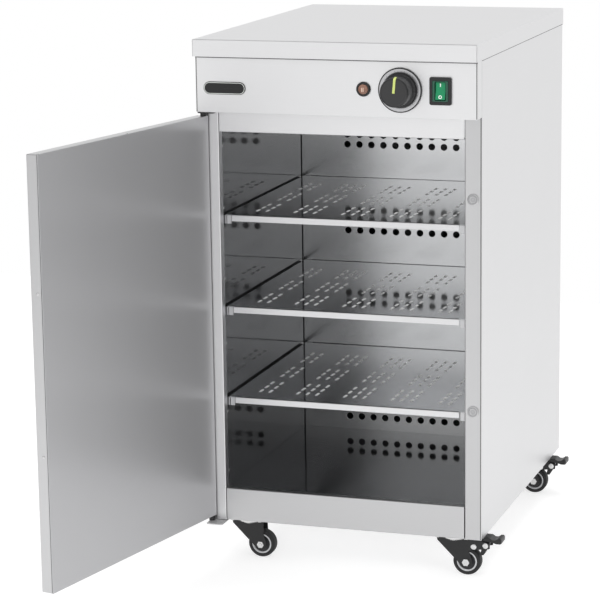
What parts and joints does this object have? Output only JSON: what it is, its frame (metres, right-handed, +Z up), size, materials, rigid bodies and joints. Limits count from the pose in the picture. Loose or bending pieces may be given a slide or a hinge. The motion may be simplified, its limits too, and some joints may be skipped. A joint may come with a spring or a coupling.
{
  "type": "plate warming cart",
  "caption": "Heated stainless plate cabinet on braked swivel castors, with a hinged door, sliding perforated shelves, and a top panel with lamp, thermostat knob and rocker switch.",
  "frame": {"origin": "centre of the base underside, where the castors are bolted on; the floor is 70 mm below it", "axes": "+Z up, +Y to the rear, +X to the right of someone facing the door"},
  "size_m": [0.5907, 1.0134, 0.8449],
  "materials": {
    "steel": "brushed stainless steel, fine grain",
    "liner_steel": "brighter, half-mirror stainless lining",
    "shelf_steel": "bright rolled stainless steel",
    "bright_metal": "nickel-plated, turned",
    "dial_metal": "satin, turned",
    "black_plastic": "black, slightly grained",
    "lens": "unlit amber lens",
    "rocker_green": "clear green",
    "pale_plastic": "off-white",
    "capillary": "bare copper tube",
    "black_steel": "black, baked on",
    "tyre": "solid black rubber",
    "hub": "grey moulded nylon"
  },
  "bodies": {
    "cabinet": {"badge_plate": "black_plastic", "base_pan": "steel", "cable_gland": "black_plastic", "castor_plate_front_left": "black_steel", "castor_plate_front_right": "black_steel", "castor_plate_rear_left": "black_steel", "castor_plate_rear_right": "black_steel", "ceiling_panel": "liner_steel", "control_panel": "steel", "dial_bezel": "dial_metal", "duct_panel": "liner_steel", "floor_panel": "liner_steel", "heating_element": "black_steel", "hinge_bracket_lower": "steel", "hinge_bracket_upper": "steel", "lamp_bezel": "black_plastic", "lamp_lens": "lens", "liner_left": "liner_steel", "liner_right": "liner_steel", "magnet_catch_lower": "bright_metal", "magnet_catch_upper": "bright_metal", "rear_panel": "steel", "runner_left_1": "liner_steel", "runner_left_2": "liner_steel", "runner_left_3": "liner_steel", "runner_right_1": "liner_steel", "runner_right_2": "liner_steel", "runner_right_3": "liner_steel", "side_panel_left": "steel", "side_panel_right": "steel", "switch_frame": "black_plastic", "terminal_block": "pale_plastic", "thermostat": "pale_plastic", "thermostat_bulb": "capillary", "worktop": "steel"},
    "door": {"door_outer_skin": "steel", "door_inner_skin": "steel", "door_handle": "shelf_steel", "hinge_bush_lower": "black_plastic", "hinge_bush_upper": "black_plastic"},
    "knob": {"knob": "black_plastic", "knob_spindle": "steel"},
    "rocker": {"rocker": "rocker_green"},
    "shelf_1": {"shelf_1": "shelf_steel"},
    "shelf_2": {"shelf_2": "shelf_steel"},
    "shelf_3": {"shelf_3": "shelf_steel"},
    "fork_front_left": {"castor_fork_front_left": "black_steel"},
    "wheel_front_left": {"tyre_front_left": "tyre", "hub_front_left": "hub"},
    "fork_front_right": {"castor_fork_front_right": "black_steel"},
    "wheel_front_right": {"tyre_front_right": "tyre", "hub_front_right": "hub"},
    "fork_rear_left": {"castor_fork_rear_left": "black_steel"},
    "wheel_rear_left": {"tyre_rear_left": "tyre", "hub_rear_left": "hub"},
    "fork_rear_right": {"castor_fork_rear_right": "black_steel"},
    "wheel_rear_right": {"tyre_rear_right": "tyre", "hub_rear_right": "hub"},
    "pedal_front_right": {"brake_pedal_front_right": "black_plastic"},
    "pedal_rear_right": {"brake_pedal_rear_right": "black_plastic"}
  },
  "joints": [
    {"name": "door_hinge", "type": "hinge", "parent": "cabinet", "child": "door", "pos_m": [-0.219, -0.29, 0.33], "axis": [0, 0, -1], "range_deg": [-102, 5]},
    {"name": "knob_turn", "type": "hinge", "parent": "cabinet", "child": "knob", "pos_m": [0.1042, -0.308, 0.7038], "axis": [0, 1, 0], "range_deg": [0, 270]},
    {"name": "switch_rock", "type": "hinge", "parent": "cabinet", "child": "rocker", "pos_m": [0.167, -0.3088, 0.7038], "axis": [1, 0, 0], "range_deg": [0, 16]},
    {"name": "shelf_1_slide", "type": "slide", "parent": "cabinet", "child": "shelf_1", "axis": [0, -1, 0], "range_m": [0, 0.39]},
    {"name": "shelf_2_slide", "type": "slide", "parent": "cabinet", "child": "shelf_2", "axis": [0, -1, 0], "range_m": [0, 0.39]},
    {"name": "shelf_3_slide", "type": "slide", "parent": "cabinet", "child": "shelf_3", "axis": [0, -1, 0], "range_m": [0, 0.39]},
    {"name": "swivel_front_left", "type": "hinge", "parent": "cabinet", "child": "fork_front_left", "pos_m": [-0.171, -0.238, -0.0065], "axis": [0, 0, 1], "continuous": true},
    {"name": "wheel_front_left", "type": "hinge", "parent": "fork_front_left", "child": "wheel_front_left", "pos_m": [-0.151, -0.238, -0.0475], "axis": [0, 1, 0], "continuous": true},
    {"name": "swivel_front_right", "type": "hinge", "parent": "cabinet", "child": "fork_front_right", "pos_m": [0.171, -0.238, -0.0065], "axis": [0, 0, 1], "continuous": true},
    {"name": "wheel_front_right", "type": "hinge", "parent": "fork_front_right", "child": "wheel_front_right", "pos_m": [0.191, -0.238, -0.0475], "axis": [0, 1, 0], "continuous": true},
    {"name": "swivel_rear_left", "type": "hinge", "parent": "cabinet", "child": "fork_rear_left", "pos_m": [-0.171, 0.238, -0.0065], "axis": [0, 0, 1], "continuous": true},
    {"name": "wheel_rear_left", "type": "hinge", "parent": "fork_rear_left", "child": "wheel_rear_left", "pos_m": [-0.151, 0.238, -0.0475], "axis": [0, 1, 0], "continuous": true},
    {"name": "swivel_rear_right", "type": "hinge", "parent": "cabinet", "child": "fork_rear_right", "pos_m": [0.171, 0.238, -0.0065], "axis": [0, 0, 1], "continuous": true},
    {"name": "wheel_rear_right", "type": "hinge", "parent": "fork_rear_right", "child": "wheel_rear_right", "pos_m": [0.191, 0.238, -0.0475], "axis": [0, 1, 0], "continuous": true},
    {"name": "brake_front_right", "type": "hinge", "parent": "fork_front_right", "child": "pedal_front_right", "pos_m": [0.222, -0.238, -0.0185], "axis": [0, 1, 0], "range_deg": [0, 15]},
    {"name": "brake_rear_right", "type": "hinge", "parent": "fork_rear_right", "child": "pedal_rear_right", "pos_m": [0.222, 0.238, -0.0185], "axis": [0, 1, 0], "range_deg": [0, 15]}
  ]
}
